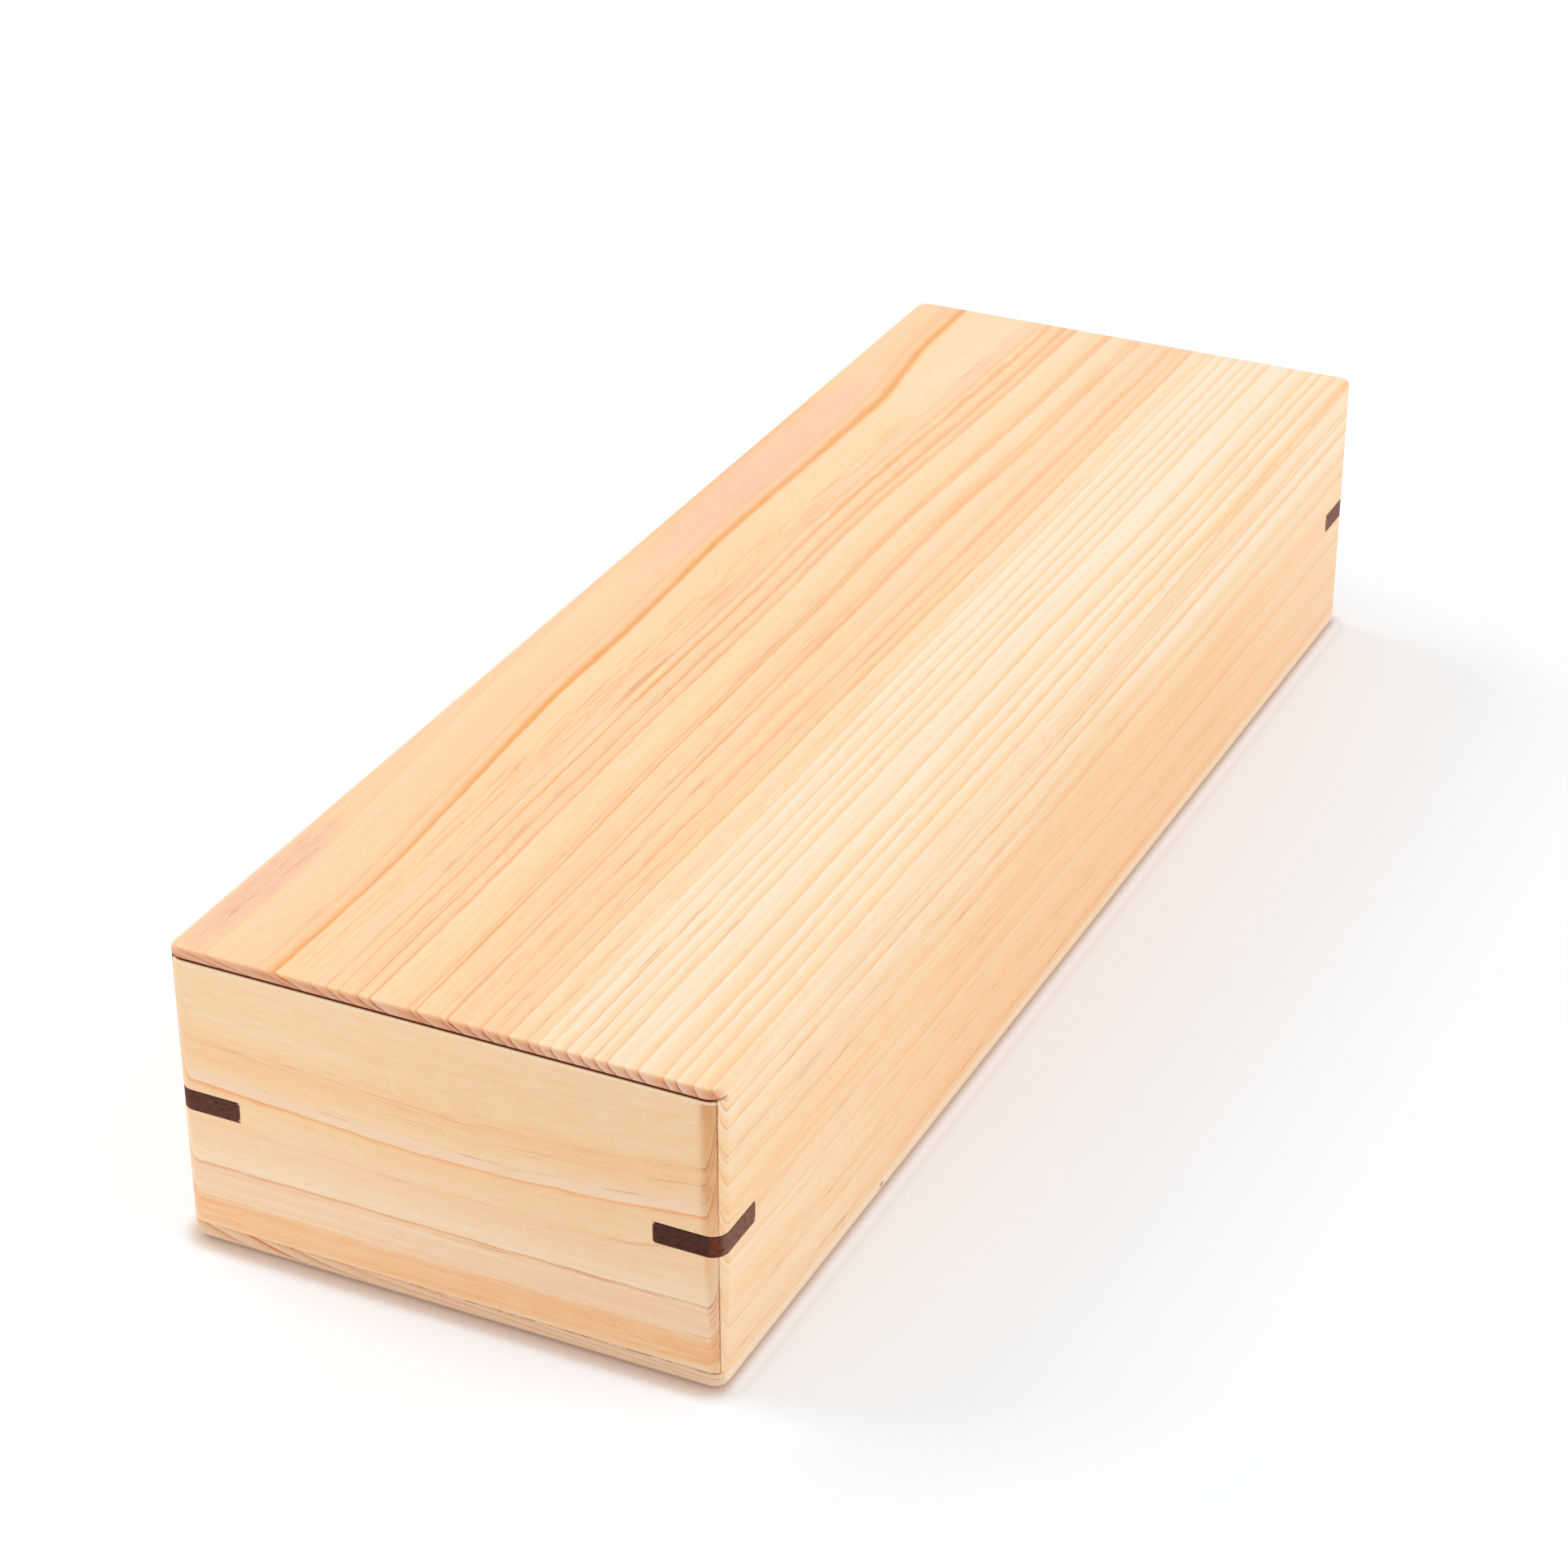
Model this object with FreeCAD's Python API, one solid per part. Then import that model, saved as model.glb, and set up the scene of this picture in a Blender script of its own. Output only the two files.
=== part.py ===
import FreeCAD
import Part
import os

from FreeCAD import Vector

# A long softwood box for hand tools, with walnut keys in its corners and a lid that slides.
#
# Four walls are mitred at the corners and stand on a thin base board as large as the box.
# Each mitre is held by a hardwood key let into a saw slot across the outside of the corner.
# The lid is one board as large as the box, rebated all round to a thin edge that lies on the
# walls. Below the edge its long sides are grooved, which leaves two tongues that travel in
# grooves ploughed in the long walls. The rear wall is lowered, so that the lid draws off
# over it, and a mitred strip under the lid's rear edge makes up its height when the box is shut.
#
# Millimetres. X is across the box, +Y is the way the lid is drawn off, +Z is up.
# The origin is in the middle of the base board's underside.

# Boards
BOX_LENGTH = 300.0
BOX_WIDTH = 100.0
BASE_THICKNESS = 3.8
WALL_THICKNESS = 9.0
WALL_HEIGHT = 51.8
LID_EDGE_THICKNESS = 1.8

# Rounded and eased edges
CORNER_RADIUS = 2.8
BASE_EDGE_RADIUS = 2.2
LID_EDGE_RADIUS = 0.95
WALL_TOP_RADIUS = 0.5
EASED_ARRIS = 0.3
SEAM_ARRIS = 0.15

# Corner keys
KEY_THICKNESS = 4.0
KEY_REACH = 12.0
KEY_ABOVE_BASE = 24.5

# Grooves in the long walls
LIP_THICKNESS = 2.7
GROOVE_HEIGHT = 3.0
GROOVE_DEPTH = 4.0

# Chamfer on the front corners of the lid's tongues
LEAD_IN = 2.0

# Clearances
SLIDING_CLEARANCE = 0.3
FRONT_WALL_GAP = 0.35
FRONT_STOP_GAP = 0.5
STRIP_MITRE_GAP = 0.2

# Levels and faces that follow from the sizes above
WALL_TOP = BASE_THICKNESS + WALL_HEIGHT
LID_TOP = WALL_TOP + LID_EDGE_THICKNESS
FRONT_WALL_TOP = WALL_TOP - FRONT_WALL_GAP
GROOVE_TOP = WALL_TOP - LIP_THICKNESS
GROOVE_FLOOR = GROOVE_TOP - GROOVE_HEIGHT
LID_UNDERSIDE = GROOVE_FLOOR + SLIDING_CLEARANCE
HALF_WIDTH = BOX_WIDTH / 2
HALF_LENGTH = BOX_LENGTH / 2
SIDE_INNER_FACE = HALF_WIDTH - WALL_THICKNESS
END_INNER_FACE = HALF_LENGTH - WALL_THICKNESS

# Turns about Z that take a wall facing -Y to each side of the box
FRONT = 0
RIGHT = 90
REAR = 180
LEFT = 270

UP = Vector(0, 0, 1)
LEVEL_TOLERANCE = 0.001


def prism(plan, bottom, top):
    """Upright solid on a closed outline of (x, y) points."""
    points = [Vector(x, y, bottom) for x, y in plan]
    outline = Part.makePolygon(points + points[:1])
    return Part.Face(outline).extrude(Vector(0, 0, top - bottom))


def slab(bottom, top):
    """Full-size slab of the box, with its four upright corners rounded."""
    corner = Vector(-HALF_WIDTH, -HALF_LENGTH, bottom)
    block = Part.makeBox(BOX_WIDTH, BOX_LENGTH, top - bottom, corner)
    upright = [edge for edge in block.Edges if edge.BoundBox.ZLength > LEVEL_TOLERANCE]
    return block.makeFillet(CORNER_RADIUS, upright)


def edges_at(shape, level):
    """Edges that lie flat at one height."""
    return [edge for edge in shape.Edges
            if abs(edge.BoundBox.ZMin - level) < LEVEL_TOLERANCE
            and edge.BoundBox.ZLength < LEVEL_TOLERANCE]


def wall(turn, bottom, top, mitre_gap=0.0):
    """Wall with 45-degree mitred ends, on the side of the box that turn gives.

    mitre_gap is the clearance left at each mitre, square to it.
    """
    on_end = turn in (FRONT, REAR)
    half_run = HALF_WIDTH if on_end else HALF_LENGTH
    face = HALF_LENGTH if on_end else HALF_WIDTH
    half_run = half_run - mitre_gap * 2 ** 0.5
    proud = CORNER_RADIUS
    plan = [
        (-half_run - proud, -face - proud),
        (half_run + proud, -face - proud),
        (half_run - WALL_THICKNESS, -face + WALL_THICKNESS),
        (-half_run + WALL_THICKNESS, -face + WALL_THICKNESS),
    ]
    blank = prism(plan, bottom, top)
    blank.rotate(Vector(), UP, turn)
    return blank.common(slab(bottom, top))


def outer_arris(shape, level):
    """Edges at one height along the outside of the box, for easing."""
    outside = []
    for edge in edges_at(shape, level):
        box = edge.BoundBox
        on_side = max(abs(box.XMin), abs(box.XMax)) > HALF_WIDTH - CORNER_RADIUS
        on_end = max(abs(box.YMin), abs(box.YMax)) > HALF_LENGTH - CORNER_RADIUS
        mitre = box.XLength > CORNER_RADIUS and box.YLength > CORNER_RADIUS
        if (on_side or on_end) and not mitre:
            outside.append(edge)
    return outside


def corner_wedge(side, end):
    """Saw slot across one upright corner, running out past both faces.

    side and end are -1 or +1: left or right, and front or rear.
    """
    middle = BASE_THICKNESS + KEY_ABOVE_BASE
    corner_x = side * HALF_WIDTH
    corner_y = end * HALF_LENGTH
    proud = CORNER_RADIUS
    plan = [
        (corner_x + side * proud, corner_y + end * proud),
        (corner_x - side * (KEY_REACH + proud), corner_y + end * proud),
        (corner_x + side * proud, corner_y - end * (KEY_REACH + proud)),
    ]
    return prism(plan, middle - KEY_THICKNESS / 2, middle + KEY_THICKNESS / 2)


def all_key_slots():
    """The four corner slots as one cutting tool."""
    slots = [corner_wedge(side, end) for side in (-1, 1) for end in (-1, 1)]
    return Part.makeCompound(slots)


def groove(side):
    """Groove that one tongue of the lid travels in, open at the rear mitre."""
    depth_from_middle = SIDE_INNER_FACE + GROOVE_DEPTH
    width = depth_from_middle - SIDE_INNER_FACE / 2
    left_face = SIDE_INNER_FACE / 2 if side > 0 else -depth_from_middle
    corner = Vector(left_face, -HALF_LENGTH, GROOVE_FLOOR)
    return Part.makeBox(width, BOX_LENGTH, GROOVE_HEIGHT, corner)


def base_board():
    """Thin board under the whole box, with a well rounded lower edge."""
    board = slab(0.0, BASE_THICKNESS)
    board = board.makeFillet(BASE_EDGE_RADIUS, edges_at(board, 0.0))
    return board.makeChamfer(SEAM_ARRIS, edges_at(board, BASE_THICKNESS))


def front_end_board():
    """End wall of full height, a hair lower than the lid that covers it."""
    board = wall(FRONT, BASE_THICKNESS, FRONT_WALL_TOP).cut(all_key_slots())
    return board.makeFillet(WALL_TOP_RADIUS, outer_arris(board, FRONT_WALL_TOP))


def rear_end_board():
    """End wall lowered to the floor of the grooves, so that the lid draws off over it."""
    board = wall(REAR, BASE_THICKNESS, GROOVE_FLOOR).cut(all_key_slots())
    return board.makeFillet(EASED_ARRIS, outer_arris(board, GROOVE_FLOOR))


def side_board(side):
    """Long wall with the slots for its two keys and the groove for one tongue of the lid."""
    turn = RIGHT if side > 0 else LEFT
    board = wall(turn, BASE_THICKNESS, WALL_TOP).cut(all_key_slots())
    return board.cut(groove(side))


def corner_key(side, end):
    """Hardwood key that fills one slot, trimmed flush with the rounded corner."""
    return corner_wedge(side, end).common(slab(BASE_THICKNESS, WALL_TOP))


def lid_edge():
    """Thin full-size top of the lid, with its lower arris eased round both ends."""
    edge = slab(WALL_TOP, LID_TOP)
    edge = edge.makeFillet(LID_EDGE_RADIUS, edges_at(edge, LID_TOP))
    eased = edge.makeChamfer(EASED_ARRIS, edges_at(edge, WALL_TOP))
    straight = BOX_LENGTH - 2 * CORNER_RADIUS
    corner = Vector(-HALF_WIDTH, -straight / 2, WALL_TOP)
    between_corners = Part.makeBox(BOX_WIDTH, straight, LID_EDGE_THICKNESS, corner)
    return eased.fuse(edge.common(between_corners))


def lid_body():
    """Thick middle of the lid between the walls, with a tongue along each long side."""
    shoulder = SIDE_INNER_FACE - SLIDING_CLEARANCE
    tongue_tip = SIDE_INNER_FACE + GROOVE_DEPTH - SLIDING_CLEARANCE
    tongue_top = GROOVE_TOP - SLIDING_CLEARANCE
    front_end = -END_INNER_FACE + FRONT_STOP_GAP
    right_half = [
        (tongue_tip, LID_UNDERSIDE),
        (tongue_tip, tongue_top),
        (shoulder, tongue_top),
        (shoulder, WALL_TOP),
    ]
    left_half = [(-x, z) for x, z in reversed(right_half)]
    section = [Vector(x, front_end, z) for x, z in right_half + left_half]
    face = Part.Face(Part.makePolygon(section + section[:1]))
    body = face.extrude(Vector(0, END_INNER_FACE - front_end, 0))
    for side in (-1, 1):
        lead_in = [
            (side * tongue_tip, front_end),
            (side * (tongue_tip - LEAD_IN), front_end),
            (side * tongue_tip, front_end + LEAD_IN),
        ]
        body = body.cut(prism(lead_in, LID_UNDERSIDE, tongue_top))
    return body


def lid_board():
    """Lid, machined from one board."""
    return lid_edge().fuse(lid_body()).removeSplitter()


def lid_end_strip():
    """Mitred strip under the lid's rear edge that fills the space over the lowered wall."""
    strip = wall(REAR, LID_UNDERSIDE, WALL_TOP, STRIP_MITRE_GAP)
    return strip.makeFillet(EASED_ARRIS, outer_arris(strip, LID_UNDERSIDE))


PIECES = {
    "base_board": base_board(),
    "front_end_board": front_end_board(),
    "rear_end_board": rear_end_board(),
    "left_side_board": side_board(-1),
    "right_side_board": side_board(1),
    "key_front_left": corner_key(-1, -1),
    "key_front_right": corner_key(1, -1),
    "key_rear_left": corner_key(-1, 1),
    "key_rear_right": corner_key(1, 1),
    "lid_board": lid_board(),
    "lid_end_strip": lid_end_strip(),
}

os.makedirs("parts", exist_ok=True)
for name, shape in PIECES.items():
    if not shape.isValid() or len(shape.Solids) != 1:
        raise RuntimeError(name + " is not one sound solid")
    shape.Solids[0].exportStep("parts/" + name + ".step")
    box = shape.BoundBox
    print(f"{name}: {shape.Volume / 1000:.2f} cm3, Z {box.ZMin:.2f} to {box.ZMax:.2f}")
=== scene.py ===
import math
from functools import partial

import bmesh
import bpy
from mathutils import Color, Matrix, Vector


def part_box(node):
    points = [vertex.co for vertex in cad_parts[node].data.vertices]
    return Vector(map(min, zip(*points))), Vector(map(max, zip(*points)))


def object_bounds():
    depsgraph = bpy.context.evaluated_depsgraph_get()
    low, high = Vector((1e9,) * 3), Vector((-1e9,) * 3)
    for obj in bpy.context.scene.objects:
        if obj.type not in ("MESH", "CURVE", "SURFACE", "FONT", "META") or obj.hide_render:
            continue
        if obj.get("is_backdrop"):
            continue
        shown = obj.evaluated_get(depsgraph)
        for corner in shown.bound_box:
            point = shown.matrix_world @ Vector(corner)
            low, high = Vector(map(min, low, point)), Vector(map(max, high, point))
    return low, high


bl_info = {
    "name": "Keyed Box with a Sliding Lid",
    "version": (1, 0, 0),
    "blender": (4, 5, 0),
    "location": "3D View > Sidebar > Box",
    "description": "Softwood, walnut and a plain studio for a mitred box with a sliding lid",
    "category": "Material",
}

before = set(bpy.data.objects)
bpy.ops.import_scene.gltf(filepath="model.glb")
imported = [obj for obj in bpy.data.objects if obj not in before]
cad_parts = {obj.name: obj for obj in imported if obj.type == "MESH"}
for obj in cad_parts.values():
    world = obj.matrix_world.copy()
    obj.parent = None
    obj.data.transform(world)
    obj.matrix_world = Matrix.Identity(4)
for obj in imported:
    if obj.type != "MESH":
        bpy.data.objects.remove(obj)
BOX_LOW, BOX_HIGH = (Vector(corner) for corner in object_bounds())
MILLIMETRE = 0.001
PER_METRE = 1 / MILLIMETRE
BOX_WIDTH = (BOX_HIGH.x - BOX_LOW.x) * PER_METRE
BOX_LENGTH = (BOX_HIGH.y - BOX_LOW.y) * PER_METRE
WALL_LOW, WALL_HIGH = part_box("front_end_board")
WALL_THICKNESS = (WALL_HIGH.y - WALL_LOW.y) * PER_METRE
BASE_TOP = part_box("base_board")[1].z
KEY_LOW, KEY_HIGH = (Vector(corner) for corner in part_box("key_front_right"))
# The tips of every key lie where |x| + |y| has this value in mm.
KEY_TIP = (KEY_LOW.x - KEY_LOW.y) * PER_METRE

# A colour ramp holds at most 32 stops, so a board has at most 31 growth rings.
MOST_RINGS = 31
# Widths of rings in mm: more than any has, and that of a board's first, which isn't in its table.
WIDEST_RING = 30.0
FIRST_RING = 3.0

# Linear colours: the front wall's upper edge where the light catches it, a painted highlight; the
# painted shade that its right half multiplies the wood's colour by, and what its upper right corner
# multiplies it by; and the painted shadow along the upper edge of a key.
LIT_EDGE = (1.0, 0.84, 0.58, 1.0)
PAINTED_SHADE = (0.940, 0.930, 0.930, 1.0)
HANDLED = (0.880, 0.790, 0.690, 1.0)
KEY_SHADOW = (0.01, 0.005, 0.004, 1.0)
# And the floor: open, close to the box a painted warm shadow that stands for shade and for the
# light from the wood that warms it, and its own glow.
FLOOR = (0.91, 0.935, 0.955, 1.0)
FLOOR_PAINTED_SHADOW = (0.70, 0.54, 0.42, 1.0)
FLOOR_GLOW = (0.75, 0.85, 1.0, 1.0)

SENSOR_WIDTH = 36.0  # mm


# ---- growth of each board
#
# Each row is one growth ring, in the order in which the tree grew. Its numbers are: where the
# late line that ends it meets the show face at the near end, in mm; how strong that line is; how
# far the wood deepens before it; how many broken mauve dashes lie beside it; how deep the ring's
# own colour is, from 0 for sapwood to 1 for the orange of a late line; and how pink it is.

LID_RINGS = (
    (7.0, 0, 0.12, 0, 0.46, 0.5),
    (17.4, 0.16, 0.16, 0.9, 0.4, 0.4),
    (20.3, 0.8, 0.5, 0, 0.46, 0.1),
    (27.2, 0, 0.12, 0, 0.36, 0),
    (30.2, 0.35, 0.12, 0.9, 0.46, 0.7),
    (32.3, 0.85, 0.16, 0, 0.4, 0.2),
    (35.9, 0.65, 0.18, 1.0, 0.46, 0.5),
    (38.2, 0.7, 0.12, 0, 0.47, 0.3),
    (45.6, 0.3, 0.26, 0.95, 0.32, 0),
    (46.4, 0.7, 0.1, 0, 0.48, 0.2),
    (51.0, 0.35, 0.22, 0.7, 0.37, 0.2),
    (52.2, 0.75, 0.1, 0, 0.47, 0.4),
    (55.7, 0.2, 0.16, 0.8, 0.42, 0.4),
    (58.5, 0.58, 0.22, 0.2, 0.39, 0.3),
    (61.0, 0.25, 0.14, 0.8, 0.44, 0.4),
    (63.1, 0.5, 0.2, 0.2, 0.44, 0.3),
    (66.6, 0.15, 0.2, 0.7, 0.24, 0),
    (68.4, 0.1, 0.08, 0, 0.28, 0),
    (70.6, 0.15, 0.38, 0.5, 0.03, 0),
    (73.4, 0.18, 0.36, 0.9, 0.03, 0),
    (75.8, 0.18, 0.38, 0.8, 0.01, 0),
    (78.1, 0.18, 0.4, 0.7, 0.02, 0),
    (80.5, 0.2, 0.46, 0.5, 0.02, 0),
    (83.5, 0, 0.16, 0.3, 0.02, 0),
    (86.0, 0.15, 0.48, 0.2, 0.03, 0),
    (90.2, 0.13, 0.5, 0.2, 0, 0),
    (92.4, 0.15, 0.46, 0.2, 0.03, 0),
    (95.3, 0.18, 0.48, 0.1, 0.04, 0),
    (98.3, 0.18, 0.46, 0.1, 0.08, 0),
    (102.0, 0.25, 0.38, 0.1, 0.14, 0),
    (110.0, 0.25, 0.38, 0.1, 0.14, 0),
)
FRONT_RINGS = (
    (4.4, 0, 0.02, 0, 0.34, 0.6),
    (5.6, 0.14, 0.06, 0.1, 0.58, 0.1),
    (6.9, 0.16, 0.06, 0.1, 0.6, 0.1),
    (8.4, 0.14, 0.06, 0.1, 0.62, 0.1),
    (9.9, 0, 0.05, 0.1, 0.66, 0.1),
    (10.7, 0.1, 0.04, 0.6, 0.2, 0.9),
    (12.5, 0.16, 0.12, 0.2, 0.18, 1.1),
    (13.9, 0.14, 0.1, 0.2, 0.2, 1.1),
    (15.2, 0.3, 0.12, 0.3, 0.22, 1.1),
    (16.3, 0.28, 0.1, 1.0, 0.3, 0.9),
    (24.4, 0.16, 0.26, 0.5, 0.17, 0.4),
    (30.6, 0.66, 0.28, 0, 0.35, 0.1),
    (33.2, 0, 0, 0.74, 0.17, 1.0),
    (36.6, 0, 0.08, 0.6, 0.32, 0.1),
    (39.4, 0, 0.06, 0.74, 0.41, 0),
    (54.5, 0, -0.06, 0, 0.36, 0),
    (68.0, 0.2, 0.2, 0.2, 0.32, 0),
)
REAR_RINGS = (
    (6.5, 0.2, 0.2, 0.2, 0.3, 0.2),
    (12.8, 0.45, 0.25, 0.3, 0.3, 0.2),
    (18.6, 0.15, 0.2, 0.6, 0.34, 0.4),
    (20.1, 0.4, 0.1, 0.1, 0.44, 0.3),
    (27.5, 0.1, 0.22, 0.4, 0.32, 0),
    (35.9, 0.5, 0.28, 0.1, 0.36, 0),
    (38.8, 0, 0.08, 0.7, 0.42, 0.5),
    (47.3, 0.15, 0.2, 0.2, 0.38, 0),
    (56.0, 0.25, 0.22, 0.2, 0.36, 0),
    (66.0, 0.2, 0.2, 0.2, 0.36, 0),
)
RIGHT_RINGS = (
    (-10.0, 0.2, 0.3, 0.1, 0.1, 0),
    (-4.0, 0.2, 0.3, 0.1, 0.1, 0),
    (3.1, 0.35, 0.26, 0.4, 0.1, 0),
    (4.6, 0.4, 0.2, 0.4, 0.24, 0),
    (8.0, 0.45, 0.28, 0.7, 0.22, 0),
    (13.3, 0.2, 0.24, 0.8, 0.2, 0),
    (14.3, 0.2, 0.14, 0.8, 0.27, 0),
    (17.5, 0.15, 0.2, 0.4, 0.24, 0.2),
    (18.3, 0.35, 0.14, 0.9, 0.32, 0),
    (23.9, 0.1, 0.18, 0.2, 0.3, 0),
    (25.9, 0.05, 0.1, 0.8, 0.37, 0),
    (28.5, 0.1, 0.14, 0.3, 0.37, 0),
    (33.4, 0.3, 0.2, 0.1, 0.31, 0.3),
    (35.5, 0.05, 0.1, 0.7, 0.28, 0.3),
    (41.5, 0.2, 0.18, 0.2, 0.32, 0.3),
    (42.7, 0.1, 0.1, 0.8, 0.36, 0.3),
    (45.6, 0.1, 0.14, 0.7, 0.34, 0.4),
    (52.5, 0.3, 0.14, 1.0, 0.32, 0.5),
    (60.0, 0.2, 0.2, 0.2, 0.38, 0.5),
)
LEFT_RINGS = (
    (-8.0, 0.2, 0.3, 0.1, 0.14, 0),
    (1.5, 0.2, 0.24, 0.2, 0.2, 0),
    (6.2, 0.3, 0.22, 0.3, 0.24, 0),
    (11.6, 0.45, 0.24, 0.2, 0.26, 0),
    (15.2, 0.1, 0.14, 0.8, 0.3, 0.2),
    (21.0, 0.35, 0.2, 0.3, 0.32, 0),
    (26.8, 0.15, 0.16, 0.7, 0.34, 0.3),
    (29.5, 0.4, 0.12, 0.1, 0.4, 0.2),
    (36.4, 0.2, 0.2, 0.4, 0.32, 0.3),
    (43.9, 0.45, 0.22, 0.2, 0.34, 0.4),
    (49.1, 0.1, 0.16, 0.6, 0.4, 0.4),
    (58.0, 0.3, 0.2, 0.2, 0.42, 0.3),
)
BASE_RINGS = (
    (-6.0, 0.5, 0.3, 0, 0.1, 0),
    (3.5, 0.9, 0.4, 0, 0.1, 0),
    (12.4, 1.0, 0.4, 0, 0.12, 0),
    (20.0, 0.9, 0.34, 0, 0.14, 0),
    (31.0, 0.55, 0.28, 0, 0.14, 0),
    (44.0, 0.6, 0.28, 0, 0.12, 0.2),
    (58.0, 0.5, 0.26, 0, 0.08, 0.2),
    (75.0, 0.6, 0.26, 0, 0.06, 0.3),
    (96.0, 0.5, 0.26, 0, 0.04, 0.4),
)


# ---- settings


def colour_setting(name, description, *default):
    """Setting for a colour, given as it is seen on a screen."""
    return bpy.props.FloatVectorProperty(
        name=name, description=description, subtype="COLOR_GAMMA",
        size=3, min=0, max=1, default=default)


def number_setting(name, description, default, **choices):
    """Setting for a number."""
    return bpy.props.FloatProperty(name=name, description=description, default=default, **choices)


def angle_setting(name, description, degrees):
    """Setting for an angle."""
    return number_setting(
        name, description, math.radians(degrees), subtype="ANGLE", unit="ROTATION")


# Settings for a share from 0 to 1, for a length in metres and for a lamp's power in watts
share_setting = partial(number_setting, subtype="FACTOR", min=0, max=1)
length_setting = partial(number_setting, subtype="DISTANCE", unit="LENGTH", min=0)
power_setting = partial(number_setting, subtype="POWER", unit="POWER", min=0)


class SoftwoodSettings(bpy.types.PropertyGroup):
    """Colours and finish of the softwood. A filter is what the wood's colour is multiplied by."""

    sap: colour_setting("Sapwood", "Palest wood", 0.998, 0.914, 0.8)
    pale_heart: colour_setting(
        "Pale heartwood", "Heartwood that grew in spring", 0.996, 0.855, 0.68)
    heart: colour_setting("Heartwood", "Heartwood that grew in summer", 0.992, 0.805, 0.615)
    late_wood: colour_setting("Late wood", "Dense orange late wood", 0.98, 0.745, 0.53)
    growth_line: colour_setting("Growth line", "Thin line that ends a ring", 0.955, 0.655, 0.35)
    blush: colour_setting("Blush", "Pink that some bands of the heartwood lean to", 0.99, 0.81, 0.7)
    mauve_line: colour_setting("Mauve dashes", "Broken resin lines", 0.88, 0.61, 0.5)
    brown_line: colour_setting("Brown dashes", "Broken lines on the walls", 0.83, 0.59, 0.425)
    arris: colour_setting(
        "Arris", "Filter for the rounded edges of the lid and base", 0.905, 0.785, 0.73)
    oblique: colour_setting(
        "Oblique grain", "Filter for the rounded corners of the walls", 0.935, 0.88, 0.82)
    lid_early: colour_setting(
        "Lid end, early", "Filter for sawn early wood of the lid", 0.93, 0.885, 0.915)
    lid_late: colour_setting(
        "Lid end, late", "Filter for sawn late wood of the lid", 0.81, 0.68, 0.68)
    lid_line: colour_setting(
        "Lid end, line", "Filter for sawn growth lines of the lid", 0.56, 0.39, 0.35)
    early: colour_setting(
        "End, early", "Filter for sawn early wood of the other boards", 0.945, 0.93, 0.96)
    late: colour_setting(
        "End, late", "Filter for sawn late wood of the other boards", 0.89, 0.815, 0.78)
    line: colour_setting(
        "End, line", "Filter for sawn growth lines of the other boards", 0.8, 0.66, 0.57)
    seam: colour_setting("Seam", "Dark thin line in a joint", 0.44, 0.2, 0.1)
    mitre: colour_setting("Mitre", "Thin line along a mitre", 0.58, 0.29, 0.16)
    # Painted shade in the joint under the lid, on the lid above it and on the wall below it.
    gap: colour_setting("Gap", "Faces on both sides of the joint under the lid", 0.64, 0.33, 0.155)
    line_width: length_setting("Line width", "Width of a growth line", 0.9 * MILLIMETRE)
    roughness: share_setting("Roughness", "Roughness of the oiled wood", 0.5)


class WalnutSettings(bpy.types.PropertyGroup):
    """Colours and finish of the corner keys."""

    heart: colour_setting("Walnut", "Keys on the right, on the ends of the box", 0.318, 0.18, 0.143)
    paler: colour_setting(
        "Paler walnut", "Keys on the left, on the ends of the box", 0.392, 0.232, 0.179)
    corner: colour_setting(
        "Rounded walnut", "A key where it goes round the corner", 0.43, 0.215, 0.145)
    # Painted sheen: keys on the long walls get this lighter colour in place of the sheen of light
    # on them.
    side: colour_setting("Side walnut", "A key on the long sides", 0.535, 0.352, 0.297)
    pores: colour_setting(
        "Pores", "What the colour is multiplied by in the open pores", 0.68, 0.6, 0.6)
    chips: colour_setting(
        "Chips", "Softwood that shows where the tip of a key has chipped", 0.9, 0.68, 0.48)
    roughness: share_setting("Roughness", "Roughness of the keys", 0.55)


class StageSettings(bpy.types.PropertyGroup):
    """Camera, light and floor."""

    azimuth: angle_setting("Azimuth", "Turn of the camera to the right of the box's front", 25.81)
    elevation: angle_setting("Elevation", "Height of the camera as an angle", 29.39)
    roll: angle_setting("Roll", "Tilt of the camera about its own line of sight", -0.19)
    aim: bpy.props.FloatVectorProperty(
        name="Aim", description="Point that the camera looks at", subtype="TRANSLATION",
        unit="LENGTH", size=3, default=(-0.00825, -0.00665, 0.02445))
    distance: length_setting(
        "Distance", "From the camera to the point that it looks at", 0.74345, min=0.1)
    lens: number_setting(
        "Lens", "Focal length on a sensor 36 mm wide", 89.85,
        subtype="DISTANCE_CAMERA", unit="CAMERA", min=10)
    floor_radius: length_setting("Floor radius", "Radius of the round floor", 3.0, min=0.5)
    sky: number_setting("Sky", "Strength of the even light from all round", 0.80, min=0)
    key_lamp: power_setting("Key lamp", "Power of the large soft lamp on the left", 10.2)
    fill_lamp: power_setting("Fill lamp", "Power of the soft lamp on the right", 4.3)
    front_lamp: power_setting("Front lamp", "Power of the weak low lamp in front of the box", 2.2)


def settings(kind):
    """The scene's own settings of one kind."""
    return getattr(bpy.context.scene, kind)


def paint(name, kind="softwood"):
    """One colour of the settings as four linear channels."""
    return (*Color(getattr(settings(kind), name)).from_srgb_to_scene_linear(), 1.0)


# ---- node building


def arithmetic(operation):
    """An operator of Python's and its mirror image, which add one math node."""

    def forwards(first, second):
        return first.tree.math(operation, first, second)

    def backwards(second, first):
        return second.tree.math(operation, first, second)

    return forwards, backwards


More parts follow.
